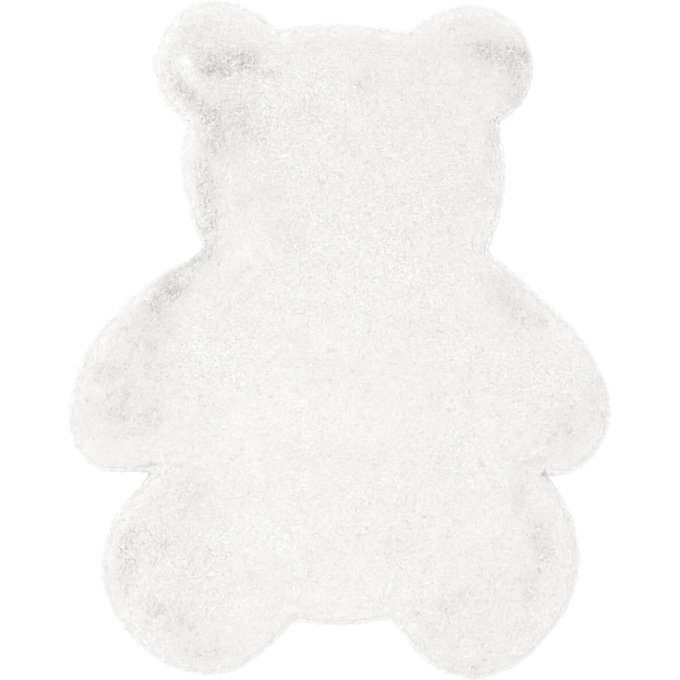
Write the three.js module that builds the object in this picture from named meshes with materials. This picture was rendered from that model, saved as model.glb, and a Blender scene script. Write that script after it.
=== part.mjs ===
// A children's rug cut in the shape of a teddy bear, lying flat on the floor.
// It is one piece of short, dense white plush: a thin ground cloth whose pile stands about 20 mm high, lies a
// little unevenly, and rolls over the cut edge down to the floor in small locks.
// Millimetres. The origin is on the floor under the middle of the rug, +Y runs from the feet to the ears, +X to
// the right of somebody who looks down at it with the ears at the top, and +Z up.

import * as THREE from "three";

// Driving dimensions
const RUG_LENGTH = 999; // from the feet to the top of the ears, for a rug sold as 80 x 100 cm
const PILE_HEIGHT = 20; // from the floor to the tips of the pile, ground cloth included

// Where nothing has marked it, the pile swells gently, and gathers into low lumps
const SWELL_RISE = 0.6;
const SWELL_LENGTH = 46; // a whole wave is this times 2 pi
const LUMP_RISE = 0.5;
const LUMP_LENGTH = 9;

// The pile at the edge gathers into small locks that stand a little way out
const LOCK_PITCH = 14;
const LOCK_REACH = 3;
const STEPS_PER_LOCK = 3;

// The top is a grid of uneven squares, up to the inmost ring of the rolled edge
const CELL = 17;
const CELL_CLEARANCE = 7;
const CORNER_WANDER = 0.13; // how far the squares' corners stray, as a share of their size

// The cut inner corners, such as the neck, are eased by averaging over this many neighbours on each side: the
// points of the outline, and the directions in which the pile rolls over
const CORNER_EASING = 1;
const ROLL_EASING = 3;

// The bear's outline, clockwise from the left end of the crown. A row is one bowed stretch: the point where it
// ends, and how far its middle stands out from the straight line between its ends.
const OUTLINE_START = { x: -94, y: 457 };
const OUTLINE = [
  { part: "crown", x: 100, y: 453, rise: 11 },
  { part: "right ear, beside the crown", x: 198, y: 495, rise: 10 },
  { part: "right ear, outer side", x: 286, y: 400, rise: 26 },
  { part: "right ear, under", x: 233, y: 322, rise: 15 },
  { part: "right cheek", x: 217, y: 129, rise: 19 },
  { part: "right shoulder", x: 295, y: 63, rise: 3 },
  { part: "right arm", x: 397, y: -76, rise: 14 },
  { part: "right paw", x: 355, y: -190, rise: 19 },
  { part: "right paw, under", x: 299, y: -196, rise: 6 },
  { part: "right hip", x: 355, y: -324, rise: 14 },
  { part: "right leg", x: 308, y: -435, rise: 11 },
  { part: "right foot", x: 196, y: -501, rise: 15 },
  { part: "right foot, inner side", x: 96, y: -437, rise: 14 },
  { part: "right leg, inner side", x: 78, y: -411, rise: 1 },
  { part: "seat", x: -68, y: -414, rise: 8 },
  { part: "left foot, inner side", x: -157, y: -490, rise: 7 },
  { part: "left foot", x: -299, y: -445, rise: 21 },
  { part: "left leg", x: -351, y: -334, rise: 13 },
  { part: "left hip", x: -312, y: -235, rise: 9 },
  { part: "left hip, top", x: -276, y: -194, rise: -2 },
  { part: "left paw, under", x: -328, y: -195, rise: -1 },
  { part: "left paw", x: -391, y: -155, rise: 12 },
  { part: "left arm, lower half", x: -395, y: -84, rise: 6 },
  { part: "left arm, upper half", x: -341, y: 29, rise: 9 },
  { part: "left shoulder", x: -238, y: 110, rise: 6 },
  { part: "left side of the neck", x: -198, y: 138, rise: -3 },
  { part: "left cheek", x: -225, y: 322, rise: 20 },
  { part: "left ear, under", x: -267, y: 364, rise: 4 },
  { part: "left ear, outer side", x: -259, y: 455, rise: 12 },
  { part: "left ear, top", x: -180, y: 501, rise: 14 },
  { part: "left ear, beside the crown", x: -94, y: 457, rise: 12 },
];

// The rolled edge, from the floor up: how far each ring lies inside the outline, its height as a share of the
// pile's, how many of the outline's points it steps over, and how much of the locks it shows.
const EDGE_RINGS = [
  { inset: 6, height: 0, every: 1, locks: 0.4 },
  { inset: 0, height: 0.32, every: 1, locks: 1 },
  { inset: 3, height: 0.68, every: 1, locks: 0.8 },
  { inset: 10, height: 0.92, every: 2, locks: 0.3 },
  { inset: 21, height: 1, every: 3, locks: 0 },
];

// Where brushing or folding has parted or pressed the pile: soft troughs, by the middle of each, its length and
// width, the way it runs from +X, and its depth.
const PILE_MARKS = [
  { place: "left ear", x: -170, y: 405, length: 95, width: 28, turn: 4, depth: 3.2 },
  { place: "left of the crown", x: -114, y: 392, length: 40, width: 22, turn: -6, depth: 1.6 },
  { place: "left ear, where it joins", x: -200, y: 338, length: 85, width: 30, turn: -58, depth: 3.2 },
  { place: "left cheek", x: -191, y: 215, length: 150, width: 26, turn: 91, depth: 2.2 },
  { place: "left shoulder", x: -236, y: 70, length: 130, width: 28, turn: 47, depth: 3.2 },
  { place: "left arm", x: -325, y: -85, length: 90, width: 30, turn: -70, depth: 2 },
  { place: "left palm", x: -272, y: -115, length: 60, width: 28, turn: 80, depth: 1.8 },
  { place: "left leg", x: -322, y: -330, length: 150, width: 40, turn: 82, depth: 1.6 },
  { place: "left foot", x: -245, y: -420, length: 90, width: 36, turn: -35, depth: 1.4 },
  { place: "right ear", x: 222, y: 422, length: 90, width: 28, turn: -4, depth: 3 },
  { place: "right ear, edge", x: 258, y: 368, length: 60, width: 26, turn: 70, depth: 2.2 },
  { place: "forehead", x: 22, y: 378, length: 60, width: 28, turn: 85, depth: 1.8 },
  { place: "left of the chin", x: -82, y: 155, length: 80, width: 34, turn: -60, depth: 1.8 },
  { place: "right shoulder", x: 262, y: 38, length: 95, width: 30, turn: -62, depth: 2 },
  { place: "right palm", x: 345, y: -130, length: 80, width: 34, turn: 70, depth: 1.6 },
  { place: "right hip", x: 270, y: -232, length: 60, width: 26, turn: 85, depth: 2 },
  { place: "right leg", x: 300, y: -330, length: 130, width: 36, turn: 84, depth: 2.2 },
  { place: "under the belly", x: -30, y: -172, length: 230, width: 30, turn: 2, depth: 1.4 },
  { place: "right armpit", x: 286, y: -189, length: 44, width: 20, turn: -24, depth: 6 },
  { place: "left armpit", x: -262, y: -184, length: 40, width: 20, turn: 36, depth: 5 },
];

// Outline

// The bowed stretches joined in one closed path. A quadratic curve stands out by half as far as its control point.
function outlinePath() {
  const path = new THREE.Path().moveTo(OUTLINE_START.x, OUTLINE_START.y);
  for (const { x, y, rise } of OUTLINE) {
    const from = path.currentPoint.clone();
    const chord = new THREE.Vector2(x, y).sub(from);
    const outward = new THREE.Vector2(-chord.y, chord.x).normalize();
    const control = from.clone().addScaledVector(chord, 0.5).addScaledVector(outward, 2 * rise);
    path.quadraticCurveTo(control.x, control.y, x, y);
  }
  return path;
}

// An item of a closed ring by its number, which may run past either end.
const at = (ring, i) => ring[(i + ring.length) % ring.length];

// Each point or direction replaced by the mean of itself and its neighbours on both sides.
function eased(ring, reach) {
  return ring.map((item, i) => {
    const mean = new THREE.Vector2();
    for (let k = -reach; k <= reach; k += 1) mean.add(at(ring, i + k));
    return mean.divideScalar(2 * reach + 1);
  });
}

// The outline as evenly spaced points, eased, sized to the rug's length and centred on the origin.
function outlinePoints() {
  const path = outlinePath();
  const locks = Math.round(path.getLength() / LOCK_PITCH);
  const points = eased(path.getSpacedPoints(locks * STEPS_PER_LOCK).slice(1), CORNER_EASING);
  const box = new THREE.Box2().setFromPoints(points);
  const middle = box.getCenter(new THREE.Vector2());
  const scale = RUG_LENGTH / (box.max.y - box.min.y);
  return points.map((point) => point.sub(middle).multiplyScalar(scale));
}

// The direction in which the pile rolls over the edge at each point of the outline.
function rollDirections(points) {
  const normals = points.map((point, i) => {
    const along = at(points, i + 1).clone().sub(at(points, i - 1)).normalize();
    return new THREE.Vector2(-along.y, along.x);
  });
  return eased(normals, ROLL_EASING).map((normal) => normal.normalize());
}

const outline = outlinePoints();
const outward = rollDirections(outline);

// Pile

// An uneven share from 0 to 1 for a lock by its number, the same in every run.
const unevenShare = (lock) => 0.5 + 0.5 * Math.sin(2.4 * lock) * Math.cos(0.73 * lock);

// How far the lock at outline point i stands out: nothing between two locks, and most in its middle.
function lockReach(i) {
  const lock = Math.floor(i / STEPS_PER_LOCK);
  const across = (i % STEPS_PER_LOCK) / STEPS_PER_LOCK;
  return LOCK_REACH * (0.4 + 0.6 * unevenShare(lock)) * Math.sin(Math.PI * across);
}

// How deep a mark has sunk the pile at a point: a bell across it, and a flatter one along it.
function markDepth({ x, y, length, width, turn, depth }, px, py) {
  const angle = THREE.MathUtils.degToRad(turn);
  const along = (px - x) * Math.cos(angle) + (py - y) * Math.sin(angle);
  const across = (py - y) * Math.cos(angle) - (px - x) * Math.sin(angle);
  return depth * Math.exp(-(((2 * across) / width) ** 2) - ((2 * along) / length) ** 4);
}

// Waves of one rise and length, whose crests wander from side to side.
function waves(x, y, rise, length) {
  const across = x / length + 1.3 * Math.sin(y / length);
  const along = y / length + 0.8 * Math.sin(x / length);
  return rise * Math.sin(across) * Math.cos(along);
}

// The height of the tips of the pile at a point.
function pileTop(x, y) {
  const sunk = PILE_MARKS.reduce((sum, mark) => sum + markDepth(mark, x, y), 0);
  return PILE_HEIGHT + waves(x, y, SWELL_RISE, SWELL_LENGTH) + waves(y, x, LUMP_RISE, LUMP_LENGTH) - sunk;
}

// Surface

const positions = [];
const faces = [];

// Adds a vertex and returns its number.
function vertex(x, y, z) {
  positions.push(x, y, z);
  return positions.length / 3 - 1;
}

// One ring of the rolled edge, as a list of vertices, each with its number and its place seen from above.
function edgeRing({ inset, height, every, locks }) {
  const ring = [];
  for (let i = 0; i < outline.length; i += every) {
    const point = outline[i].clone().addScaledVector(outward[i], locks * lockReach(i) - inset);
    ring.push({ point, number: vertex(point.x, point.y, height * pileTop(point.x, point.y)) });
  }
  return ring;
}

// Twice the area of the triangle that three vertices make seen from above: negative where it faces down.
function facing(a, b, c) {
  return b.point.clone().sub(a.point).cross(c.point.clone().sub(a.point));
}

// Whether the outer of two rings gives the next vertex of the band between them, so that both keep an even pace.
const keepsPace = (outer, i, inner, j) => (i + 0.5) / outer.length <= (j + 0.5) / inner.length;

// The same for rings that don't match: the next triangle is the one that faces up, or else has the shorter side.
function fitsBest(outer, i, inner, j) {
  const [a, b, nextA, nextB] = [at(outer, i), at(inner, j), at(outer, i + 1), at(inner, j + 1)];
  const isUpA = facing(a, b, nextA) > 0;
  const isUpB = facing(a, b, nextB) > 0;
  return isUpA === isUpB ? nextA.point.distanceTo(b.point) <= nextB.point.distanceTo(a.point) : isUpA;
}

// Fills the band between two clockwise rings of vertices, from the first of each, by one of the two rules above.
function fillBand(outer, inner, isOuterNext) {
  let i = 0;
  let j = 0;
  while (i < outer.length || j < inner.length) {
    const [a, b] = [at(outer, i), at(inner, j)];
    const takesOuter = j === inner.length || (i < outer.length && isOuterNext(outer, i, inner, j));
    if (takesOuter) i += 1;
    else j += 1;
    faces.push(a.number, b.number, takesOuter ? at(outer, i).number : at(inner, j).number);
  }
}

// Fills the flat underside within a clockwise ring of vertices.
function fillUnderside(ring) {
  for (const [i, j, k] of THREE.ShapeUtils.triangulateShape(ring.map(({ point }) => point), [])) {
    const isDown = facing(ring[i], ring[j], ring[k]) < 0;
    faces.push(ring[i].number, ...(isDown ? [ring[j].number, ring[k].number] : [ring[k].number, ring[j].number]));
  }
}

// Whether a point is inside a closed ring of points, by counting the sides that a line to its right crosses.
function isInside(ring, { x, y }) {
  return ring.reduce((inside, p, i) => {
    const q = at(ring, i + 1);
    return p.y > y !== q.y > y && x < p.x + ((y - p.y) * (q.x - p.x)) / (q.y - p.y) ? !inside : inside;
  }, false);
}

// Where a corner of the grid lies: a little off its even place, so that the plush shows no straight rows.
function gridPoint([column, row]) {
  const x = column + CORNER_WANDER * Math.sin(2.1 * row + column);
  const y = row + CORNER_WANDER * Math.sin(1.7 * column + 2.3 * row);
  return new THREE.Vector2(x, y).multiplyScalar(CELL);
}

// The four corners of a grid square, anticlockwise, and the squares beyond the side that starts at each.
const cornersOf = ([column, row]) => [
  [column, row],
  [column + 1, row],
  [column + 1, row + 1],
  [column, row + 1],
];
const squaresBeside = ([column, row]) => [
  [column, row - 1],
  [column + 1, row],
  [column, row + 1],
  [column - 1, row],
];

// The grid squares that lie clear inside a ring of points.
function clearSquares(ring) {
  const isClear = (corner) => {
    const point = gridPoint(corner);
    return isInside(ring, point) && ring.every((p) => p.distanceTo(point) > CELL_CLEARANCE);
  };
  const { min, max } = new THREE.Box2().setFromPoints(ring);
  const squares = [];
  for (let column = Math.floor(min.x / CELL); column < max.x / CELL; column += 1) {
    for (let row = Math.floor(min.y / CELL); row < max.y / CELL; row += 1) {
      if (cornersOf([column, row]).every(isClear)) squares.push([column, row]);
    }
  }
  return squares;
}

// Fills the top: squares on the grid, and a band from their stepped border out to the inmost ring.
function fillTop(ring) {
  const squares = clearSquares(ring.map(({ point }) => point));
  const filled = new Set(squares.map(String));
  const corners = new Map();
  const before = new Map();
  for (const square of squares) {
    const names = cornersOf(square).map(String);
    cornersOf(square).forEach((corner, i) => {
      const point = gridPoint(corner);
      if (corners.has(names[i])) return;
      corners.set(names[i], { point, number: vertex(point.x, point.y, pileTop(point.x, point.y)) });
    });
    const [a, b, c, d] = names.map((name) => corners.get(name).number);
    faces.push(a, b, c, a, c, d);
    squaresBeside(square).forEach((beside, side) => {
      if (!filled.has(String(beside))) before.set(at(names, side + 1), names[side]);
    });
  }
  const reach = (name) => corners.get(name).point.distanceTo(ring[0].point);
  const border = [[...before.keys()].reduce((nearest, name) => (reach(name) < reach(nearest) ? name : nearest))];
  while (before.get(border.at(-1)) !== border[0]) border.push(before.get(border.at(-1)));
  fillBand(ring, border.map((name) => corners.get(name)), fitsBest);
}

// The whole rug as one closed surface: underside, rolled edge and top.
function plushGeometry() {
  const rings = EDGE_RINGS.map(edgeRing);
  fillUnderside(rings[0]);
  rings.slice(1).forEach((ring, i) => fillBand(rings[i], ring, keepsPace));
  fillTop(rings.at(-1));
  const geometry = new THREE.BufferGeometry();
  geometry.setAttribute("position", new THREE.Float32BufferAttribute(positions, 3));
  geometry.setIndex(faces);
  geometry.computeVertexNormals();
  return geometry;
}

// White polyester plush: matt, with a hint of warm grey
const whitePlush = new THREE.MeshStandardMaterial({ color: 0xf2f1ee, roughness: 0.95, metalness: 0 });

const rug = new THREE.Group();
const plush = new THREE.Mesh(plushGeometry(), whitePlush);
plush.name = "bear_plush";
rug.add(plush);

export default rug;
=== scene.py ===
"""A children's rug cut in the shape of a teddy bear, laid flat.

It is short, dense white plush on a knitted ground cloth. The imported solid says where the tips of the
pile are: its outline, the roll of its edge and its uneven top are read from it, and the ground cloth,
the body of the pile and its tufts are worked out from them. Lengths are in metres.
"""

import math

import bpy
import numpy as np
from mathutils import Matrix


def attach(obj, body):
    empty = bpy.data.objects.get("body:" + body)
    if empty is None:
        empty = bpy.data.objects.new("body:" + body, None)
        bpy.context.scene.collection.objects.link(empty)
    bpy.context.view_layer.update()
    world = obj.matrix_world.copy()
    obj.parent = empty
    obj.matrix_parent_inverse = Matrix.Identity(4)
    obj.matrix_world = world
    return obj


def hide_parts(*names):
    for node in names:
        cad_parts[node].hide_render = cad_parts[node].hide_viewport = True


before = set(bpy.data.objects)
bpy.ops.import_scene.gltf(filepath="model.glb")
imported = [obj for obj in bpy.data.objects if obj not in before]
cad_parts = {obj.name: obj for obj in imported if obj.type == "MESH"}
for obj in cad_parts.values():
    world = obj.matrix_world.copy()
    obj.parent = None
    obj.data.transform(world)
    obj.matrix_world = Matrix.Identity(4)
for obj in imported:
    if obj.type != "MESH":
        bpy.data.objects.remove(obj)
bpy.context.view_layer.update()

MM = 0.001
rng = np.random.default_rng(2024)

# The ground cloth
CLOTH_THICKNESS = 1.8 * MM
CLOTH_INSET = 7 * MM  # from the tips at the edge in to the cloth's cut edge

# The body of the pile, under the tufts
PILE_BODY_DEPTH = 4.8 * MM  # from the tips down to where the pile is too dense to look into
BODY_VOXEL = 6 * MM
BODY_CLEARANCE = 0.1 * MM  # between the body and the ground cloth
LUMP_HEIGHT = 0.3 * MM
LUMPS_FROM = 6 * MM  # the body is even up to this height
LUMPS_EASE = 6 * MM  # and as lumpy as it gets this much higher

# The tufts of the top, each a straight spike
TOP_PITCH = 1.88 * MM
TOP_LENGTH = 5.6 * MM
TOP_LENGTHS = (0.88, 1.08)  # the shortest and the longest, as shares of that
TOP_RADIUS = 2.0 * MM
TOP_INSET = 10 * MM  # they begin this far inside the outline, leaning outwards with the roll
EASED_INSET = 26 * MM  # and from here on in they lean the way of the nap
LEAN_OUTWARDS = 0.5  # sideways for each unit of height
TIP_RISE = 0.3 * MM  # from the solid's top up to the tips
TIP_JITTER = 0.1 * MM
CLUMP_SINK = 0.3 * MM  # how much lower the tips are between two clumps
GAP_SINK = 2.2 * MM  # and in a gap

# The tufts of the rolled edge, each bent in its middle
EDGE_PITCH = 2.25 * MM
EDGE_LENGTH = 7.5 * MM
EDGE_LENGTHS = (0.85, 1.1)
EDGE_RADIUS = 1.9 * MM
EDGE_REACH = 0.9 * MM  # the tips stand out past the roll by up to this much
EDGE_BOW = 0.8 * MM  # how far the bend lifts the middle of a level tuft
EDGE_CLUMPING = 0.3  # how far a tip leans to the middle of its clump, as a share of the way
EDGE_STEEPEST = 1.5  # radians above the floor, past which a tuft leans no further to its clump
LOWEST_TIP = 0.4 * MM
LOWEST_ROOT = 1.15 * EDGE_RADIUS  # so that not even the thickest tuft dips below the floor
SWAY_JITTER = 0.16

# All tufts
RADII = (0.85, 1.15)  # the thinnest and the thickest, as shares of the radius
TILT_JITTER = 0.12
GRID_JITTER = 0.34  # how far a tuft is moved from its place in the grid, in pitches
ROW_SPACING = 0.87  # of a grid of alternate rows, in pitches
PILE_SHADING = 0.9  # how far a tuft shades as the pile round it does, and not by its own sides
ODD_WAY = np.array([0.31, 0.17, 0.93])  # hardly any tuft points this way, so it gives each one a side

# The tips of neighbouring tufts lean together into clumps, by a share of the way to the clump's middle
CLUMP_PITCH = np.array([6.6, 4.6]) * MM  # across and along the rug
CLUMP_CELLS = 512
CLUMP_SEED = 31
CLUMPING = 0.08
CLUMPING_ADDED = 0.1  # by a clump's luck, and by a mark
CLUMPING_LIMITS = (0.05, 0.4)

# The nap, in which tufts lean towards the feet, sideways for each unit of height
NAP_LEAN = 0.26
PUSHED_ASIDE = 0.4  # away from the middle of a mark

# Gaps in the pile, which run where a noise crosses zero
GAP_WAVE = 3.4 * MM
GAP_SEEDS = (61, 63)  # of the gaps that run across the rug, and of those along its sides
GAP_SLOWING = (0.5, 0.45)  # how slowly the noise of each changes along its gaps, which makes them long
GAP_WIDTH = 0.25
GAP_STEEPNESS = 1.3
GAP_SHARE = 0.02  # how open the pile is by itself
GAPS_IN_MARK = 2.2  # and how much more for each unit of a mark's strength above the next value
OPENING_MARK = 0.25
SIDEWAYS = 0.35  # where the edge faces more sideways than this, gaps run along it
SIDE_WIDTH = 60 * MM  # all of them up to this far in, and none from twice this far in

# The map's left half is for plain white tufts and its right half for rosy ones, from dark to white: its
# darker tones are painted shade, and rosy is the warm tint of painted shade.
TONE_WIDTH = 0.014  # how much of the map's width one tuft takes
TONE_OF_WHITE = 0.8
TONE_OF_SHADE = 0.5  # how much darker each unit of shade is
TONE_OF_CLUMPS = 0.06  # how much clumps differ
TONE_JITTER = 0.03
TONE_LIMITS = (0.02, 0.95)
ROSY_SHARE = 0.7  # of the tufts in the warmest mark
MAP_MARGIN = 0.01  # at the roots and at the tips
# Painted shade: how much each unit of a mark's strength and of a gap darkens a tuft. ROLL_LIGHT is painted
# light on the top's outermost tufts.
MARK_SHADE = 0.6
GAP_SHADE = 0.9
ROLL_LIGHT = 0.08  # taken off the shade of the top's outermost tufts

# The patterns of the materials. Single fibres are too fine to show, so a streak stands for many.
STREAKS_ROUND_TUFT = 12.6  # each about 0.8 mm wide at the tuft's root
STREAKS_ALONG_TUFT = 5.0
DENSE_GRAIN = 2.38095 * MM  # a little more than the tufts' pitch
LOOP_WIDTH = 1.309 * MM
LOOP_HEIGHT = 1.01342 * MM
WAVE_AT_SCALE_1 = math.pi / 10  # how long the wave texture's own wave is

# The roll of the edge as the tips have it, from the foot up: the distance inside the outline, the height as
# a share of the pile's there, the share of the locks, the angle above the floor at which the tufts stand,
# and how much painted shade darkens their colour.
EDGE_ROLL = {
    "inset": np.array([5.0, 0.0, 3.0, 12.0]) * MM,
    "height": np.array([0.04, 0.32, 0.68, 0.94]),
    "locks": np.array([0.4, 1.0, 0.8, 0.25]),
    "angle": np.radians([-18, 4, 38, 72]),
    "shade": np.array([0.45, 0.12, 0.2, 0.06]),
}
LOCK_PITCH = 14 * MM  # the edge gathers into locks about this far apart
PILE_HEIGHT = 20 * MM
FULL_HEIGHT_INSET = 23 * MM  # this far inside the outline the pile stands at its full height

# Uneven waves, as rows of height, length and the seed of their random table
MARK_RAGGEDNESS = [(0.35, 9 * MM, 5), (0.3, 23 * MM, 6)]
NAP_TURNS = [(0.7, 70 * MM, 11), (0.5, 22 * MM, 12)]
NAP_LEANS = [(0.08, 40 * MM, 13)]
EDGE_SWAYS = [(0.3, 18 * MM, 41)]
BODY_LUMPS = [(1.0, 9 * MM, 51), (0.6, 5 * MM, 52)]
GAP_OPENINGS = [(0.7, 5 * MM, 62)]

# The pieces that the tufts are joined in, from the ears down: their names and their lowest points
# along the rug. The last of each takes all that is left.
TOP_AREAS = [
    ("pile_crown", 270 * MM),
    ("pile_face", 70 * MM),
    ("pile_chest", -80 * MM),
    ("pile_belly", -250 * MM),
    ("pile_legs", -1.0),
]
EDGE_AREAS = [("edge_upper", 0.0), ("edge_lower", -1.0)]

# Where brushing and folding have parted, pressed or ruffled the pile, and where shade or light is painted
# into its colour, in millimetres: the middle of each mark, its length and width, the way it runs from +X in
# degrees, how strong it is, and how warm its painted shade looks. A mark pushes its tufts apart and opens
# gaps in it, and its strength darkens their colour: painted shade of the parted pile, which the broad, weak
# marks give without gaps. A mark of negative strength is painted light: its tufts are drawn whiter.
MARK_COLUMNS = ("x", "y", "length", "width", "turn", "strength", "warmth")
MARKS = np.array([
    # left ear
    (-166, 406, 96, 36, 8, 1.3, 0.7),
    (-102, 392, 34, 9, 0, 0.8, 0.7),
    (-205, 448, 60, 40, 10, 0.25, 0.0),
    (-219, 396, 52, 22, -65, -0.6, 0.0),
    (-228, 366, 42, 18, -56, 0.9, 0.6),
    # where the left ear joins the head
    (-203, 338, 52, 26, -42, 0.75, 0.5),
    (-184, 300, 74, 30, -84, 0.75, 0.5),
    (-155, 314, 85, 54, 80, 0.55, 0.9),
    (-121, 300, 44, 26, -20, 0.4, 0.6),
    # left cheek
    (-196, 222, 120, 28, 92, 0.7, 0.4),
    (-191, 172, 40, 22, 70, 0.5, 0.3),
    # left shoulder and arm
    (-218, 106, 100, 30, 42, 1.0, 0.5),
    (-256, 66, 70, 40, 45, 0.8, 0.3),
    (-272, 16, 84, 60, 35, 0.4, 0.1),
    (-340, -45, 50, 40, 60, 0.3, 0.1),
    (-325, -97, 60, 34, 80, 0.35, 0.4),
    (-315, -80, 170, 140, 60, 0.3, 0.15),
    (-278, -118, 50, 36, 80, 0.3, 1.0),
    # head
    (30, 374, 50, 26, 80, 0.35, 0.2),
    (-43, 335, 44, 30, 30, 0.22, 0.2),
    (8, 290, 40, 30, 60, 0.2, 0.1),
    (-80, 154, 56, 36, -60, 0.3, 0.2),
    (-109, 212, 40, 26, -40, 0.25, 0.2),
    (-139, 205, 30, 24, 20, 0.25, 0.1),
    # right ear
    (232, 421, 96, 28, -6, 1.2, 0.4),
    (262, 385, 90, 34, 84, 0.6, 1.0),
    # right cheek
    (222, 304, 44, 24, 85, 0.3, 0.9),
    (220, 268, 50, 26, 95, 0.3, 0.3),
    (212, 218, 50, 34, 100, 0.3, 0.1),
    (163, 190, 56, 40, 60, 0.2, 0.1),
    # right shoulder and arm
    (254, 56, 96, 50, -55, 0.5, 0.1),
    (300, 26, 16, 12, 0, 0.5, 0.0),
    (340, -100, 150, 110, 95, 0.1, 0.1),
    (332, -126, 70, 44, 75, 0.2, 0.0),
    (380, -89, 64, 26, 92, 0.3, 1.0),
    # right leg
    (269, -233, 50, 30, 80, 0.4, 0.1),
    (294, -288, 60, 34, 100, 0.4, 0.1),
    (300, -330, 50, 34, 80, 0.35, 0.1),
    (280, -368, 44, 30, 60, 0.35, 0.1),
    (170, -383, 60, 36, 20, 0.25, 0.1),
    (130, -434, 44, 26, 50, 0.3, 0.1),
    (192, -480, 70, 22, 0, 0.3, 0.9),
    (275, -340, 300, 190, 75, 0.1, 0.1),
    (180, -430, 160, 120, 30, 0.14, 0.1),
    # left leg
    (-265, -340, 300, 190, 105, 0.2, 0.1),
    (-219, -221, 70, 34, 80, 0.3, 0.1),
    (-315, -324, 110, 34, 84, 0.35, 0.2),
    (-276, -312, 60, 34, 60, 0.25, 0.1),
    (-249, -412, 70, 40, -40, 0.3, 0.1),
    (-197, -464, 70, 34, 10, 0.3, 0.2),
    # belly
    (19, -177, 210, 30, 0, 0.16, 0.1),
    (-21, -37, 60, 40, 20, 0.15, 0.1),
    (126, 21, 50, 40, 60, 0.15, 0.1),
    (89, -295, 70, 40, 40, 0.18, 0.1),
    (-43, -118, 260, 96, 0, -0.14, 0.0),
    # the creases where paw and leg meet, with painted shade in them
    (292, -191, 30, 5, -26, 0.3, 0.1),
    (-281, -185, 46, 7, 10, 0.5, 0.1),
])


# Numbers

NOISE_CELLS = 256
SHORTEST = 1e-12
BLOCK = 4096  # points that are set against the whole outline at a time, so that they fit in memory


def smooth_noise(x, y, size, seed):
    """Waves from -1 to 1 about size long: random numbers on a lattice, eased from one to the next."""
    table = np.random.default_rng(seed).uniform(-1, 1, (NOISE_CELLS, NOISE_CELLS))
    column, row = np.floor(x / size).astype(int), np.floor(y / size).astype(int)
    u, v = x / size - column, y / size - row
    u, v = u * u * (3 - 2 * u), v * v * (3 - 2 * v)
    corner = [[table[(row + j) % NOISE_CELLS, (column + i) % NOISE_CELLS] for i in (0, 1)] for j in (0, 1)]
    near = corner[0][0] * (1 - u) + corner[0][1] * u
    far = corner[1][0] * (1 - u) + corner[1][1] * u
    return near * (1 - v) + far * v


def waves(x, y, rows):
    """The sum of smooth noises, each row of which gives its height, length and seed."""
    return sum(height * smooth_noise(x, y, size, seed) for height, size, seed in rows)


def around(ring, reach):
    """The mean of each row of a closed ring with its neighbours up to reach rows away on both sides."""
    return np.mean([np.roll(ring, k, axis=0) for k in range(-reach, reach + 1)], axis=0)


def unit(vectors):
    """The same directions, each one long."""
    return vectors / np.maximum(np.linalg.norm(vectors, axis=-1, keepdims=True), SHORTEST)


def in_blocks(x, y):
    """Many points as a few blocks of them."""
    count = max(1, len(x) // BLOCK)
    return zip(np.array_split(x, count), np.array_split(y, count))


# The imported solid

WELD = 0.001 * MM  # corners no further apart than this are one point


def solid_of(node):
    """A node's points, and its triangles as numbers of those points, its equal corners made one."""
    mesh = node.data
    places = np.empty(len(mesh.vertices) * 3, np.float32)
    mesh.vertices.foreach_get("co", places)
    corners = np.empty(len(mesh.loops), np.int32)
    mesh.loops.foreach_get("vertex_index", corners)
    steps = np.round(places.reshape(-1, 3) / WELD).astype(np.int64)
    points, number = np.unique(steps, axis=0, return_inverse=True)
    return points * WELD, number.ravel()[corners].reshape(-1, 3)


def outline_of(points, triangles):
    """The ring seen from above, anticlockwise: the edges where the solid turns from up to down.

    They are put in order by doubling: each edge knows the next one, then the one two further on, four,
    and so on, and adds up its steps to the first edge.
    """
    a, b, c = (points[triangles[:, k]] for k in range(3))
    is_up = np.cross(b - a, c - a)[:, 2] > 0
    starts, ends = triangles.ravel(), np.roll(triangles, -1, axis=1).ravel()
    up = np.repeat(is_up, 3)
    count = len(points)
    turns = up & np.isin(ends * count + starts, (starts * count + ends)[~up])
    starts, ends = starts[turns], ends[turns]
    order = np.argsort(starts)
    after = order[np.searchsorted(starts[order], ends)]
    steps = np.ones(len(starts), int)
    steps[0], after[0] = 0, 0
    for _ in range(int(math.log2(len(starts))) + 1):
        steps, after = steps + steps[after], after[after]
    return points[starts[np.argsort(-steps)]][:, :2]


def evenly(ring, pitch):
    """Points about pitch apart along a closed ring."""
    closed = np.vstack([ring, ring[:1]])
    run = np.concatenate([[0], np.cumsum(np.linalg.norm(np.diff(closed, axis=0), axis=1))])
    at = np.linspace(0, run[-1], int(run[-1] / pitch), endpoint=False)
    return np.stack([np.interp(at, run, closed[:, k]) for k in (0, 1)], axis=1)


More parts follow.
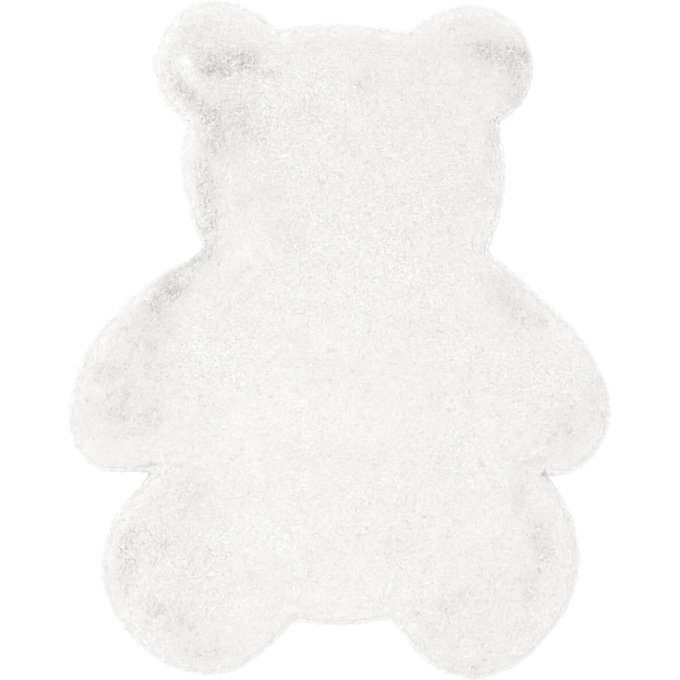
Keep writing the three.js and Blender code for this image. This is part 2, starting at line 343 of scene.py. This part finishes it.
class PlushSolid:
    """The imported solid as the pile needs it: the height of the tips on a grid, and the outline.

    outline is the ring without its locks, outward the way out of it at each of its points, and locks
    how far a lock reaches out there.
    """

    CELL = 2 * MM
    EDGE_STEP = 2 * MM
    MARGIN = 4  # cells round the rug
    SPREAD = 24  # steps along each side of a triangle
    SLOPE_REACH = 6 * MM  # the slope is taken across twice this

    def __init__(self, node):
        """Spreads points over each triangle, and keeps the highest in each cell."""
        points, triangles = solid_of(node)
        ring = evenly(outline_of(points, triangles), self.EDGE_STEP)
        reach = round(LOCK_PITCH / self.EDGE_STEP / 2)
        self.outline = around(ring, reach)
        along = np.roll(self.outline, -1, axis=0) - np.roll(self.outline, 1, axis=0)
        self.outward = unit(around(unit(np.stack([along[:, 1], -along[:, 0]], axis=1)), reach))
        self.locks = np.sum((ring - self.outline) * self.outward, axis=1)
        steps = range(self.SPREAD + 1)
        shares = np.array([(i, j) for i in steps for j in steps if i + j <= self.SPREAD]) / self.SPREAD
        a, b, c = (points[triangles[:, k]][:, None] for k in range(3))
        spread = a + (b - a) * shares[:, :1] + (c - a) * shares[:, 1:]
        spread = spread.reshape(-1, 3)
        self.low = points.min(axis=0)[:2] - self.MARGIN * self.CELL
        size = np.ceil((points.max(axis=0)[:2] - self.low) / self.CELL).astype(int) + self.MARGIN
        self.heights = np.zeros(size)
        cell = np.round((spread[:, :2] - self.low) / self.CELL).astype(int)
        np.maximum.at(self.heights, (cell[:, 0], cell[:, 1]), spread[:, 2])

    def height(self, x, y):
        """The height of the tips at each point, between the four nearest cells."""
        u = (x - self.low[0]) / self.CELL
        v = (y - self.low[1]) / self.CELL
        column = np.clip(np.floor(u).astype(int), 0, self.heights.shape[0] - 2)
        row = np.clip(np.floor(v).astype(int), 0, self.heights.shape[1] - 2)
        u, v = np.clip(u - column, 0, 1), np.clip(v - row, 0, 1)
        h = self.heights
        left = h[column, row] * (1 - v) + h[column, row + 1] * v
        right = h[column + 1, row] * (1 - v) + h[column + 1, row + 1] * v
        return left * (1 - u) + right * u

    def facing(self, x, y):
        """The direction that the top faces at each point, from its slope."""
        reach = self.SLOPE_REACH
        slope_x = (self.height(x + reach, y) - self.height(x - reach, y)) / (2 * reach)
        slope_y = (self.height(x, y + reach) - self.height(x, y - reach)) / (2 * reach)
        return unit(np.column_stack([-slope_x, -slope_y, np.ones(len(x))]))

    def inside(self, x, y):
        """Whether each point is in the outline.

        It is if a line to its right crosses the outline an odd number of times. Only the stretches that
        are level with a block of points can be crossed.
        """
        start, end = self.outline, np.roll(self.outline, -1, axis=0)
        lowest, highest = np.minimum(start, end)[:, 1], np.maximum(start, end)[:, 1]
        answers = []
        for px, py in in_blocks(x, y):
            level = (lowest < highest) & (lowest <= py.max()) & (highest > py.min())
            (ax, ay), (bx, by) = start[level].T, end[level].T
            px, py = px[:, None], py[:, None]
            spans = (ay > py) != (by > py)
            crosses = spans & (px < ax + (py - ay) * (bx - ax) / (by - ay))
            answers.append(crosses.sum(axis=1) % 2 == 1)
        return np.concatenate(answers)

    def nearest_edge(self, x, y):
        """The distance from each point to the outline, and the outward direction there."""
        far, number = [], []
        for px, py in in_blocks(x, y):
            squares = (px[:, None] - self.outline[:, 0]) ** 2 + (py[:, None] - self.outline[:, 1]) ** 2
            number.append(squares.argmin(axis=1))
            far.append(np.sqrt(squares.min(axis=1)))
        return np.concatenate(far), self.outward[np.concatenate(number)]


plush = PlushSolid(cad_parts["bear_plush"])


# The lie of the pile

def marks_at(x, y):
    """The marks' strength at each point, their warmth, and the push away from the middle of each.

    A mark is a bell across and a flatter bell along it, and its edge is made ragged by waves.
    """
    ragged = 1 + waves(x, y, MARK_RAGGEDNESS)
    strength, warmth, push = np.zeros(len(x)), np.zeros(len(x)), np.zeros((len(x), 2))
    for row in MARKS:
        mark = dict(zip(MARK_COLUMNS, row))
        turn = math.radians(mark["turn"])
        dx, dy = x - mark["x"] * MM, y - mark["y"] * MM
        along = (dx * math.cos(turn) + dy * math.sin(turn)) / (mark["length"] * MM / 2)
        across = (dy * math.cos(turn) - dx * math.sin(turn)) / (mark["width"] * MM / 2)
        bell = mark["strength"] * np.exp(-across ** 2 - along ** 4) * ragged
        strength += bell
        warmth += bell * mark["warmth"]
        aside = np.array([-math.sin(turn), math.cos(turn)])
        push += (np.abs(bell) * np.tanh(2 * across))[:, None] * aside
    return strength, warmth, push


def lean_at(x, y, push):
    """How far the tips lean sideways for each unit of height: with the wandering nap, and off marks."""
    turn = waves(x, y, NAP_TURNS)
    amount = NAP_LEAN + waves(x, y, NAP_LEANS)
    return np.stack([amount * np.sin(turn), -amount * np.cos(turn)], axis=1) + PUSHED_ASIDE * push


def gaps_at(x, y, strength, upright):
    """How far the pile opens into a dark gap at each point, from 0 to 1.

    Gaps are broken, wandering dashes: they run where a noise crosses zero, and only where another one
    lets them. They are drawn out across the rug because the nap lies along it, and along its sides they
    stand upright. In a mark they are close together.
    """
    level_noise = smooth_noise(GAP_SLOWING[0] * x, y, GAP_WAVE, GAP_SEEDS[0])
    upright_noise = smooth_noise(x, GAP_SLOWING[1] * y, GAP_WAVE, GAP_SEEDS[1])
    across = 1 - np.abs(level_noise) / GAP_WIDTH
    along = 1 - np.abs(upright_noise) / GAP_WIDTH
    line = np.maximum(across * (1 - upright), along * upright)
    in_mark = GAPS_IN_MARK * np.maximum(strength - OPENING_MARK, 0)
    open_here = GAP_SHARE + waves(x, y, GAP_OPENINGS) + in_mark
    return np.clip(GAP_STEEPNESS * line, 0, 1) * np.clip(open_here, 0, 1)


def clump_middles(x, y):
    """The middle of the nearest clump, how far off it is in pitches, and its luck from 0 to 1.

    Clumps sit one to a cell of a grid, each at a random place in it, so the nearest is looked for in
    a point's own cell and the eight round it.
    """
    table = np.random.default_rng(CLUMP_SEED).uniform(0, 1, (CLUMP_CELLS, CLUMP_CELLS, 3))
    column, row = np.floor(x / CLUMP_PITCH[0]).astype(int), np.floor(y / CLUMP_PITCH[1]).astype(int)
    nearest = np.full(len(x), np.inf)
    middle, luck = np.zeros((len(x), 2)), np.zeros(len(x))
    for i in (-1, 0, 1):
        for j in (-1, 0, 1):
            cell = table[(column + i) % CLUMP_CELLS, (row + j) % CLUMP_CELLS]
            place = (np.stack([column + i, row + j], axis=1) + cell[:, :2]) * CLUMP_PITCH
            far = np.hypot((place[:, 0] - x) / CLUMP_PITCH[0], (place[:, 1] - y) / CLUMP_PITCH[1])
            nearer = far < nearest
            nearest = np.where(nearer, far, nearest)
            middle = np.where(nearer[:, None], place, middle)
            luck = np.where(nearer, cell[:, 2], luck)
    return middle, nearest, luck


# Meshes

def new_piece(name, vertices, triangles, material, uv=None, normals=None):
    """A mesh object of triangles, shaded smooth or by the normals, its map named OFBake."""
    mesh = bpy.data.meshes.new(name)
    mesh.vertices.add(len(vertices))
    mesh.vertices.foreach_set("co", vertices.astype(np.float32).ravel())
    mesh.loops.add(triangles.size)
    mesh.loops.foreach_set("vertex_index", triangles.astype(np.int32).ravel())
    mesh.polygons.add(len(triangles))
    mesh.polygons.foreach_set("loop_start", np.arange(0, triangles.size, 3, dtype=np.int32))
    mesh.polygons.foreach_set("use_smooth", np.ones(len(triangles), bool))
    if uv is not None:
        mesh.uv_layers.new(name="OFBake").uv.foreach_set("vector", uv.astype(np.float32).ravel())
    mesh.update(calc_edges=True)
    mesh.validate()
    if normals is not None:
        mesh.normals_split_custom_set_from_vertices(normals)
    mesh.materials.append(material)
    piece = bpy.data.objects.new(name, mesh)
    bpy.context.scene.collection.objects.link(piece)
    return piece


def tuft_mesh(roots, tips, bow, radius, facing, tone, shares, turn):
    """Points, triangles, map and normals of closed three-sided tufts.

    Each tuft's line runs from root to tip and bows out by bow in its middle:
    root + t (tip - root) + 4 t (1 - t) bow. Rings of three points stand round it at each share t,
    radius (1 - t^2) wide and turned by turn, and it ends in a point. On the map a tuft lies at its tone
    from left to right, and from root to tip upwards. Light sinks in among fibres and comes out evenly,
    so the normals lean from each tuft's own sides towards the way the whole pile faces.
    """
    count, levels = len(roots), len(shares)
    axis = unit(tips - roots)
    side = unit(np.cross(axis, ODD_WAY))
    other = np.cross(axis, side)
    t = np.array(shares)[None, :, None]
    line = roots[:, None] + t * (tips - roots)[:, None] + 4 * t * (1 - t) * bow[:, None]
    angle = turn[:, None] + np.arange(3) * 2 * np.pi / 3
    spoke = np.cos(angle)[..., None] * side[:, None] + np.sin(angle)[..., None] * other[:, None]
    wide = radius[:, None, None, None] * (1 - t[..., None] ** 2)
    rings = line[:, :, None] + wide * spoke[:, None]
    vertices = np.concatenate([rings.reshape(count, -1, 3), tips[:, None]], axis=1)
    faces, across, up = [(0, 2, 1)], [(0, 2, 1)], [(0, 0, 0)]
    for level in range(levels - 1):
        low, high = shares[level], shares[level + 1]
        for k in range(3):
            a, b = 3 * level + k, 3 * level + (k + 1) % 3
            faces += [(a, b, b + 3), (a, b + 3, a + 3)]
            across += [(k, k + 1, k + 1), (k, k + 1, k)]
            up += [(low, low, high), (low, high, high)]
    last, tip = 3 * (levels - 1), 3 * levels
    for k in range(3):
        faces.append((last + k, last + (k + 1) % 3, tip))
        across.append((k, k + 1, k + 0.5))
        up.append((shares[-1], shares[-1], 1))
    triangles = np.array(faces)[None] + np.arange(count)[:, None, None] * (tip + 1)
    sides = np.broadcast_to(spoke[:, None], rings.shape).reshape(count, -1, 3)
    own = np.concatenate([sides, axis[:, None]], axis=1)
    normals = unit(PILE_SHADING * facing[:, None] + (1 - PILE_SHADING) * own)
    u = tone[:, None, None] + TONE_WIDTH * np.array(across)[None] / 3
    v = np.broadcast_to(np.array(up, float)[None], u.shape)
    uv = np.stack([u, MAP_MARGIN + (1 - 2 * MAP_MARGIN) * v], axis=-1)
    return vertices.reshape(-1, 3), triangles.reshape(-1, 3), uv.reshape(-1, 2), normals.reshape(-1, 3)


def jittered_grid(width, length, pitch):
    """Points on a grid of alternate rows, each moved at random by up to a third of the pitch."""
    rows, columns = int(length / (pitch * ROW_SPACING)), int(width / pitch)
    i, j = np.meshgrid(np.arange(columns), np.arange(rows))
    x = (i + 0.5 * (j % 2)) * pitch + rng.uniform(-GRID_JITTER, GRID_JITTER, i.shape) * pitch
    y = j * ROW_SPACING * pitch + rng.uniform(-GRID_JITTER, GRID_JITTER, i.shape) * pitch
    return x.ravel(), y.ravel()


def tone_of(shade, luck, warmth):
    """Where on the map a tuft lies across: the more painted shade, the darker, and the warmer a mark's
    painted shade, the more of its tufts are rosy.
    """
    jitter = rng.uniform(-TONE_JITTER, TONE_JITTER, len(shade))
    tone = TONE_OF_WHITE - TONE_OF_SHADE * shade + TONE_OF_CLUMPS * (luck - 0.5) + jitter
    is_rosy = rng.uniform(0, 1, len(shade)) < ROSY_SHARE * warmth
    return 0.5 * np.clip(tone, *TONE_LIMITS) + 0.5 * is_rosy


def make_top_tufts():
    """The tufts of the top, as tuft_mesh takes them.

    They stand on a jittered grid. Each is as long as its neighbours, give or take a little, its tip is
    at the solid's top, and it leans with the roll or the nap and towards the middle of its clump.
    """
    low, high = plush.outline.min(axis=0), plush.outline.max(axis=0)
    x, y = jittered_grid(*(high - low), TOP_PITCH)
    x, y = x + low[0], y + low[1]
    kept = plush.inside(x, y)
    x, y = x[kept], y[kept]
    inset, outward = plush.nearest_edge(x, y)
    kept = inset > TOP_INSET
    x, y, inset, outward = x[kept], y[kept], inset[kept], outward[kept]
    count = len(x)
    strength, warmth, push = marks_at(x, y)
    middle, off, luck = clump_middles(x, y)
    sideways = np.clip(2 * (np.abs(outward[:, 0]) - SIDEWAYS), 0, 1)
    gap = gaps_at(x, y, strength, sideways * np.clip(2 - inset / SIDE_WIDTH, 0, 1))
    clumping = np.clip(CLUMPING + CLUMPING_ADDED * (luck + strength), *CLUMPING_LIMITS)
    length = TOP_LENGTH * rng.uniform(*TOP_LENGTHS, count)
    rolled = np.clip((EASED_INSET - inset) / (EASED_INSET - TOP_INSET), 0, 1)[:, None]
    lean = lean_at(x, y, push) * (1 - rolled) + LEAN_OUTWARDS * outward * rolled
    lean += rng.normal(0, TILT_JITTER, (count, 2))
    sunk = CLUMP_SINK * np.minimum(off, 1) ** 2 + GAP_SINK * gap
    tip_z = plush.height(x, y) + TIP_RISE - sunk + rng.normal(0, TIP_JITTER, count)
    aside = lean * length[:, None] + clumping[:, None] * (middle - np.stack([x, y], axis=1))
    tips = np.column_stack([x + aside[:, 0], y + aside[:, 1], tip_z])
    roots = np.column_stack([x, y, tip_z - length])
    radius = TOP_RADIUS * rng.uniform(*RADII, count)
    # Painted shade in marks and gaps, and painted light that takes some of it off the top's outermost
    # tufts.
    shade = MARK_SHADE * strength + GAP_SHADE * gap - ROLL_LIGHT * rolled[:, 0]
    tone = tone_of(shade, luck, warmth)
    return roots, tips, np.zeros((count, 3)), radius, plush.facing(x, y), tone


def make_edge_tufts():
    """The tufts of the rolled edge, as tuft_mesh takes them.

    They stand on a jittered grid, s along the outline and t round the roll, each out from the roll at
    the roll's angle. They shade as if they faced halfway from that angle to straight up, because light
    that comes from above sinks in among the fibres.
    """
    inset, height = EDGE_ROLL["inset"], EDGE_ROLL["height"] * PILE_HEIGHT
    run = np.concatenate([[0], np.cumsum(np.hypot(np.diff(inset), np.diff(height)))])
    steps = np.linalg.norm(np.roll(plush.outline, -1, axis=0) - plush.outline, axis=1)
    ring_run = np.concatenate([[0], np.cumsum(steps)])
    s, t = jittered_grid(ring_run[-1], run[-1], EDGE_PITCH)
    s, t = s % ring_run[-1], np.clip(t, 0, run[-1])
    count = len(s)
    roll = {name: np.interp(t, run, values) for name, values in EDGE_ROLL.items()}

    number = np.interp(s, ring_run, np.arange(len(ring_run)))
    first = number.astype(int) % len(plush.outline)
    second = (first + 1) % len(plush.outline)
    share = (number - np.floor(number))[:, None]
    place = plush.outline[first] * (1 - share) + plush.outline[second] * share
    outward = unit(plush.outward[first] * (1 - share) + plush.outward[second] * share)
    lock = plush.locks[first] * (1 - share[:, 0]) + plush.locks[second] * share[:, 0]
    tip_xy = place - outward * (roll["inset"] - lock * roll["locks"])[:, None]
    tip_z = roll["height"] * plush.height(*(place - outward * FULL_HEIGHT_INSET).T)
    strength, warmth, _ = marks_at(tip_xy[:, 0], tip_xy[:, 1])
    middle, _, luck = clump_middles(tip_xy[:, 0], tip_xy[:, 1])

    angle = roll["angle"] + rng.normal(0, TILT_JITTER, count)
    length = EDGE_LENGTH * rng.uniform(*EDGE_LENGTHS, count)
    sway = rng.normal(0, SWAY_JITTER, count) + waves(tip_xy[:, 0], tip_xy[:, 1], EDGE_SWAYS)
    sideways = np.stack([-outward[:, 1], outward[:, 0]], axis=1)
    flat = unit(outward + sideways * sway[:, None])
    direction = np.column_stack([flat * np.cos(angle)[:, None], np.sin(angle)])
    tips = np.column_stack([tip_xy, tip_z]) + direction * rng.uniform(0, EDGE_REACH, count)[:, None]
    steepness = np.sin(np.clip(angle, 0, EDGE_STEEPEST))[:, None]
    tips[:, :2] += EDGE_CLUMPING * (middle - tip_xy) * steepness
    tips[:, 2] = np.maximum(tips[:, 2], LOWEST_TIP)
    roots = tips - direction * length[:, None]
    roots[:, 2] = np.maximum(roots[:, 2], LOWEST_ROOT)
    bow = np.column_stack([np.zeros((count, 2)), np.cos(angle) * EDGE_BOW])
    radius = EDGE_RADIUS * rng.uniform(*RADII, count)
    halfway_up = (roll["angle"] + math.pi / 2) / 2
    facing = np.column_stack([outward * np.cos(halfway_up)[:, None], np.sin(halfway_up)])
    # Painted shade of the marks and of the roll, as tones on the map.
    tone = tone_of(MARK_SHADE * strength + roll["shade"], luck, warmth)
    return roots, tips, bow, radius, facing, tone


def join_tufts(areas, made, shares, material):
    """One piece for each area of the rug, of the tufts whose roots lie in it."""
    turn = rng.uniform(0, 2 * np.pi, len(made[0]))
    left = np.ones(len(turn), bool)
    pieces = []
    for name, lowest in areas:
        here = left & (made[0][:, 1] >= lowest)
        left &= ~here
        vertices, triangles, uv, normals = tuft_mesh(*(values[here] for values in made), shares, turn[here])
        pieces.append(new_piece(name, vertices, triangles, material, uv, normals))
    return pieces


def make_pile_body(material):
    """The body of the pile: the solid drawn in by how deep one can look between the tufts, and lumpy.

    Its points are moved in along their normals, it is remeshed in even cells, and waves lift and sink it.
    """
    lowest = CLOTH_THICKNESS + BODY_CLEARANCE
    points, triangles = solid_of(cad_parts["bear_plush"])
    piece = new_piece("pile_body", points, triangles, material)
    normals = np.empty(len(points) * 3, np.float32)
    piece.data.vertices.foreach_get("normal", normals)
    points = points - normals.reshape(-1, 3) * PILE_BODY_DEPTH
    points[:, 2] = np.maximum(points[:, 2], lowest)
    piece.data.vertices.foreach_set("co", points.astype(np.float32).ravel())
    remesh = piece.modifiers.new("even_cells", "REMESH")
    remesh.mode = "VOXEL"
    remesh.voxel_size = BODY_VOXEL
    remesh.use_smooth_shade = True
    evaluated = piece.evaluated_get(bpy.context.evaluated_depsgraph_get())
    mesh = bpy.data.meshes.new_from_object(evaluated)
    piece.modifiers.clear()
    piece.data = mesh
    points = np.empty(len(mesh.vertices) * 3, np.float32)
    mesh.vertices.foreach_get("co", points)
    points = points.reshape(-1, 3)
    rise = np.clip((points[:, 2] - LUMPS_FROM) / LUMPS_EASE, 0, 1)
    points[:, 2] += LUMP_HEIGHT * waves(points[:, 0], points[:, 1], BODY_LUMPS) * rise
    points[:, 2] = np.maximum(points[:, 2], lowest)
    mesh.vertices.foreach_set("co", points.ravel())
    mesh.update()
    return piece


def make_ground_cloth(ring, material):
    """The knitted ground cloth: a bottom and a top of the ring's shape with a wall between them."""
    count = len(ring)
    low = np.column_stack([ring, np.zeros(count)])
    high = np.column_stack([ring, np.full(count, CLOTH_THICKNESS)])
    i = np.arange(count)
    after = (i + 1) % count
    walls = np.stack([i, after, after + count, i + count], axis=1)
    faces = [i[::-1].tolist(), (i + count).tolist(), *walls.tolist()]
    mesh = bpy.data.meshes.new("ground_cloth")
    mesh.from_pydata(np.vstack([low, high]).tolist(), [], faces)
    mesh.materials.append(material)
    mesh.update()
    piece = bpy.data.objects.new("ground_cloth", mesh)
    bpy.context.scene.collection.objects.link(piece)
    return piece


# Materials

def linear(code):
    """A colour written as six sRGB hex digits, as the linear values with alpha that sockets take."""
    shares = [int(code[k:k + 2], 16) / 255 for k in (0, 2, 4)]
    return [s / 12.92 if s <= 0.04045 else ((s + 0.055) / 1.055) ** 2.4 for s in shares] + [1]


def new_material(name):
    """An empty material with its node tree."""
    material = bpy.data.materials.new(name)
    material.use_nodes = True
    material.node_tree.nodes.clear()
    return material, material.node_tree


def add(tree, kind, inputs, **settings):
    """Adds a node with its settings. inputs gives each socket a value, or the output that feeds it."""
    node = tree.nodes.new(kind)
    for name, value in settings.items():
        setattr(node, name, value)
    for name, value in inputs.items():
        if isinstance(value, bpy.types.NodeSocket):
            tree.links.new(value, node.inputs[name])
        else:
            node.inputs[name].default_value = value
    return node


def combed_polyester_pile():
    """White polyester fibre, combed and sheared: matt, with the soft, chalky white of a deep pile.

    The map gives a tuft's tone from left to right and its depth upwards. Deep down all tufts are one warm
    white, and towards the tip each takes its own tone, which carries the painted shade of marks, gaps and
    the roll, with fine streaks of fibres along it. The sheared ends are drawn darker: painted shade that
    stands in for light passing through their thin fibres rather than coming back.
    """
    material, tree = new_material("combed_polyester_pile")
    place = add(tree, "ShaderNodeUVMap", {}, uv_map="OFBake")
    split = add(tree, "ShaderNodeSeparateXYZ", {"Vector": place.outputs["UV"]})
    depth = split.outputs["Y"]
    doubled = add(tree, "ShaderNodeMath", {0: split.outputs["X"], 1: 2.0}, operation="MULTIPLY")
    tone = add(tree, "ShaderNodeMath", {0: doubled.outputs["Value"]}, operation="FRACT")
    is_rosy = add(tree, "ShaderNodeMath", {0: split.outputs["X"], 1: 0.5}, operation="GREATER_THAN")
    opened = add(tree, "ShaderNodeMapRange", {"Value": depth, "From Min": 0.0, "From Max": 0.65},
                 interpolation_type="SMOOTHSTEP")
    plain = add(tree, "ShaderNodeMix",
                {"Factor": tone.outputs["Value"], 6: linear("B4B2AE"), 7: linear("FBFBFA")},
                data_type="RGBA")
    rosy = add(tree, "ShaderNodeMix",
               {"Factor": tone.outputs["Value"], 6: linear("B9AEAA"), 7: linear("FBF9F8")},
               data_type="RGBA")
    white = add(tree, "ShaderNodeMix",
                {"Factor": is_rosy.outputs["Value"], 6: plain.outputs[2], 7: rosy.outputs[2]},
                data_type="RGBA")
    streak_scale = (STREAKS_ROUND_TUFT / TONE_WIDTH, STREAKS_ALONG_TUFT, 1.0)
    stretched = add(tree, "ShaderNodeMapping", {"Vector": place.outputs["UV"], "Scale": streak_scale})
    threads = add(tree, "ShaderNodeTexNoise",
                  {"Vector": stretched.outputs["Vector"], "Scale": 1.0, "Detail": 2.0, "Roughness": 0.6},
                  noise_dimensions="2D")
    between = add(tree, "ShaderNodeMapRange", {
        "Value": threads.outputs["Fac"],
        "From Min": 0.3,
        "From Max": 0.55,
        "To Min": 0.93,
        "To Max": 1.0,
    })
    # Painted shade at the sheared ends: the tips are drawn darker, standing in for light that passes
    # through their thin fibres.
    thin_tip_shade = add(tree, "ShaderNodeMapRange",
                  {"Value": depth, "From Min": 0.75, "From Max": 1.0, "To Min": 1.0, "To Max": 0.86})
    shown = add(tree, "ShaderNodeMath",
                {0: between.outputs["Result"], 1: thin_tip_shade.outputs["Result"]}, operation="MULTIPLY")
    streaked = add(tree, "ShaderNodeVectorMath",
                   {0: white.outputs[2], 1: shown.outputs["Value"]}, operation="MULTIPLY")
    fibre = add(tree, "ShaderNodeMix",
                {"Factor": opened.outputs["Result"], 6: linear("F4F2EF"), 7: streaked.outputs["Vector"]},
                data_type="RGBA")
    shader = add(tree, "ShaderNodeBsdfPrincipled", {
        "Base Color": fibre.outputs[2],
        "Roughness": 0.95,
        "Specular IOR Level": 0.0,
    })
    add(tree, "ShaderNodeOutputMaterial", {"Surface": shader.outputs["BSDF"]})
    return material


def dense_pile():
    """The same fibre where it stands too close to look into: warm, finely uneven, and darker with painted
    shade.
    """
    material, tree = new_material("dense_pile")
    place = add(tree, "ShaderNodeTexCoord", {})
    grain = add(tree, "ShaderNodeTexNoise", {
        "Vector": place.outputs["Object"],
        "Scale": 1.0 / DENSE_GRAIN,
        "Detail": 3.0,
        "Roughness": 0.6,
    })
    colour = add(tree, "ShaderNodeMix",
                 {"Factor": grain.outputs["Fac"], 6: linear("DCDAD6"), 7: linear("F0EEEB")},
                 data_type="RGBA")
    bump = add(tree, "ShaderNodeBump",
               {"Height": grain.outputs["Fac"], "Strength": 0.8, "Distance": 0.8 * MM})
    shader = add(tree, "ShaderNodeBsdfPrincipled", {
        "Base Color": colour.outputs[2],
        "Roughness": 0.95,
        "Specular IOR Level": 0.2,
        "Normal": bump.outputs["Normal"],
    })
    add(tree, "ShaderNodeOutputMaterial", {"Surface": shader.outputs["BSDF"]})
    return material


def knitted_ground():
    """The pile's ground, a plain knit of white polyester: matt, with small loops in upright columns."""
    material, tree = new_material("knitted_ground")
    place = add(tree, "ShaderNodeTexCoord", {})
    columns = add(tree, "ShaderNodeTexWave", {
        "Vector": place.outputs["Object"],
        "Scale": WAVE_AT_SCALE_1 / LOOP_WIDTH,
        "Distortion": 1.2,
        "Detail": 1.0,
    }, wave_type="BANDS", bands_direction="X")
    courses = add(tree, "ShaderNodeTexWave", {
        "Vector": place.outputs["Object"],
        "Scale": WAVE_AT_SCALE_1 / LOOP_HEIGHT,
        "Distortion": 1.6,
        "Detail": 1.0,
    }, wave_type="BANDS", bands_direction="Y")
    loops = add(tree, "ShaderNodeMath",
                {0: columns.outputs["Fac"], 1: courses.outputs["Fac"]}, operation="MULTIPLY")
    colour = add(tree, "ShaderNodeMix",
                 {"Factor": loops.outputs["Value"], 6: linear("C9C4BC"), 7: linear("EFECE6")},
                 data_type="RGBA")
    bump = add(tree, "ShaderNodeBump",
               {"Height": loops.outputs["Value"], "Strength": 0.7, "Distance": 0.4 * MM})
    shader = add(tree, "ShaderNodeBsdfPrincipled", {
        "Base Color": colour.outputs[2],
        "Roughness": 0.85,
        "Specular IOR Level": 0.3,
        "Normal": bump.outputs["Normal"],
    })
    add(tree, "ShaderNodeOutputMaterial", {"Surface": shader.outputs["BSDF"]})
    return material


def studio_white():
    """A matt white sweep of studio paper."""
    material, tree = new_material("studio_white")
    shader = add(tree, "ShaderNodeBsdfPrincipled", {
        "Base Color": linear("F6F6F6"),
        "Roughness": 1.0,
        "Specular IOR Level": 0.0,
    })
    add(tree, "ShaderNodeOutputMaterial", {"Surface": shader.outputs["BSDF"]})
    return material


# The rug

STRAIGHT_TUFT = [0.0]  # the shares of a tuft's length at which it has a ring of points
BENT_TUFT = [0.0, 0.5]

cloth_edge = plush.outline - plush.outward * CLOTH_INSET
pile_material = combed_polyester_pile()
ground_cloth = make_ground_cloth(cloth_edge, knitted_ground())
pile_body = make_pile_body(dense_pile())
top_tufts = join_tufts(TOP_AREAS, make_top_tufts(), STRAIGHT_TUFT, pile_material)
edge_tufts = join_tufts(EDGE_AREAS, make_edge_tufts(), BENT_TUFT, pile_material)
pile = [pile_body, *top_tufts, *edge_tufts]

for piece in [ground_cloth, *pile]:
    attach(piece, "root")
    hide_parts("bear_plush")


# Floor, light and camera

def make_floor(size, drop):
    """A flat square floor, a little under the rug."""
    half = size / 2
    corners = [(-half, -half, -drop), (half, -half, -drop), (half, half, -drop), (-half, half, -drop)]
    mesh = bpy.data.meshes.new("floor")
    mesh.from_pydata(corners, [], [(0, 1, 2, 3)])
    mesh.materials.append(studio_white())
    floor = bpy.data.objects.new("floor", mesh)
    bpy.context.scene.collection.objects.link(floor)


def make_light(name, place, size, power):
    """A square soft box that faces the middle of the rug."""
    lamp = bpy.data.lights.new(name, "AREA")
    lamp.shape = "SQUARE"
    lamp.size = size
    lamp.energy = power
    light = bpy.data.objects.new(name, lamp)
    light.location = place
    light.rotation_euler = (-light.location).to_track_quat("-Z", "Y").to_euler()
    bpy.context.scene.collection.objects.link(light)


def make_world(strength):
    """An even white surround."""
    world = bpy.data.worlds.new("surround")
    world.use_nodes = True
    world.node_tree.nodes["Background"].inputs["Color"].default_value = (1, 1, 1, 1)
    world.node_tree.nodes["Background"].inputs["Strength"].default_value = strength
    bpy.context.scene.world = world


def make_camera(width_seen, level, lens, middle):
    """A camera straight above, which sees width_seen across at the height of level, ears at the top."""
    data = bpy.data.cameras.new("camera")
    data.lens = lens
    data.sensor_width = 36
    camera = bpy.data.objects.new("camera", data)
    camera.location = (*middle, level + width_seen * lens / data.sensor_width)
    bpy.context.scene.collection.objects.link(camera)
    bpy.context.scene.camera = camera


make_floor(size=40, drop=0.4 * MM)
make_light("soft_box", place=(-0.45, 0.2, 4.0), size=3.2, power=71)
make_world(strength=1.3)
make_camera(width_seen=1.0, level=6 * MM, lens=100, middle=(1.1 * MM, -0.7 * MM))
bpy.context.scene.view_settings.view_transform = "Standard"
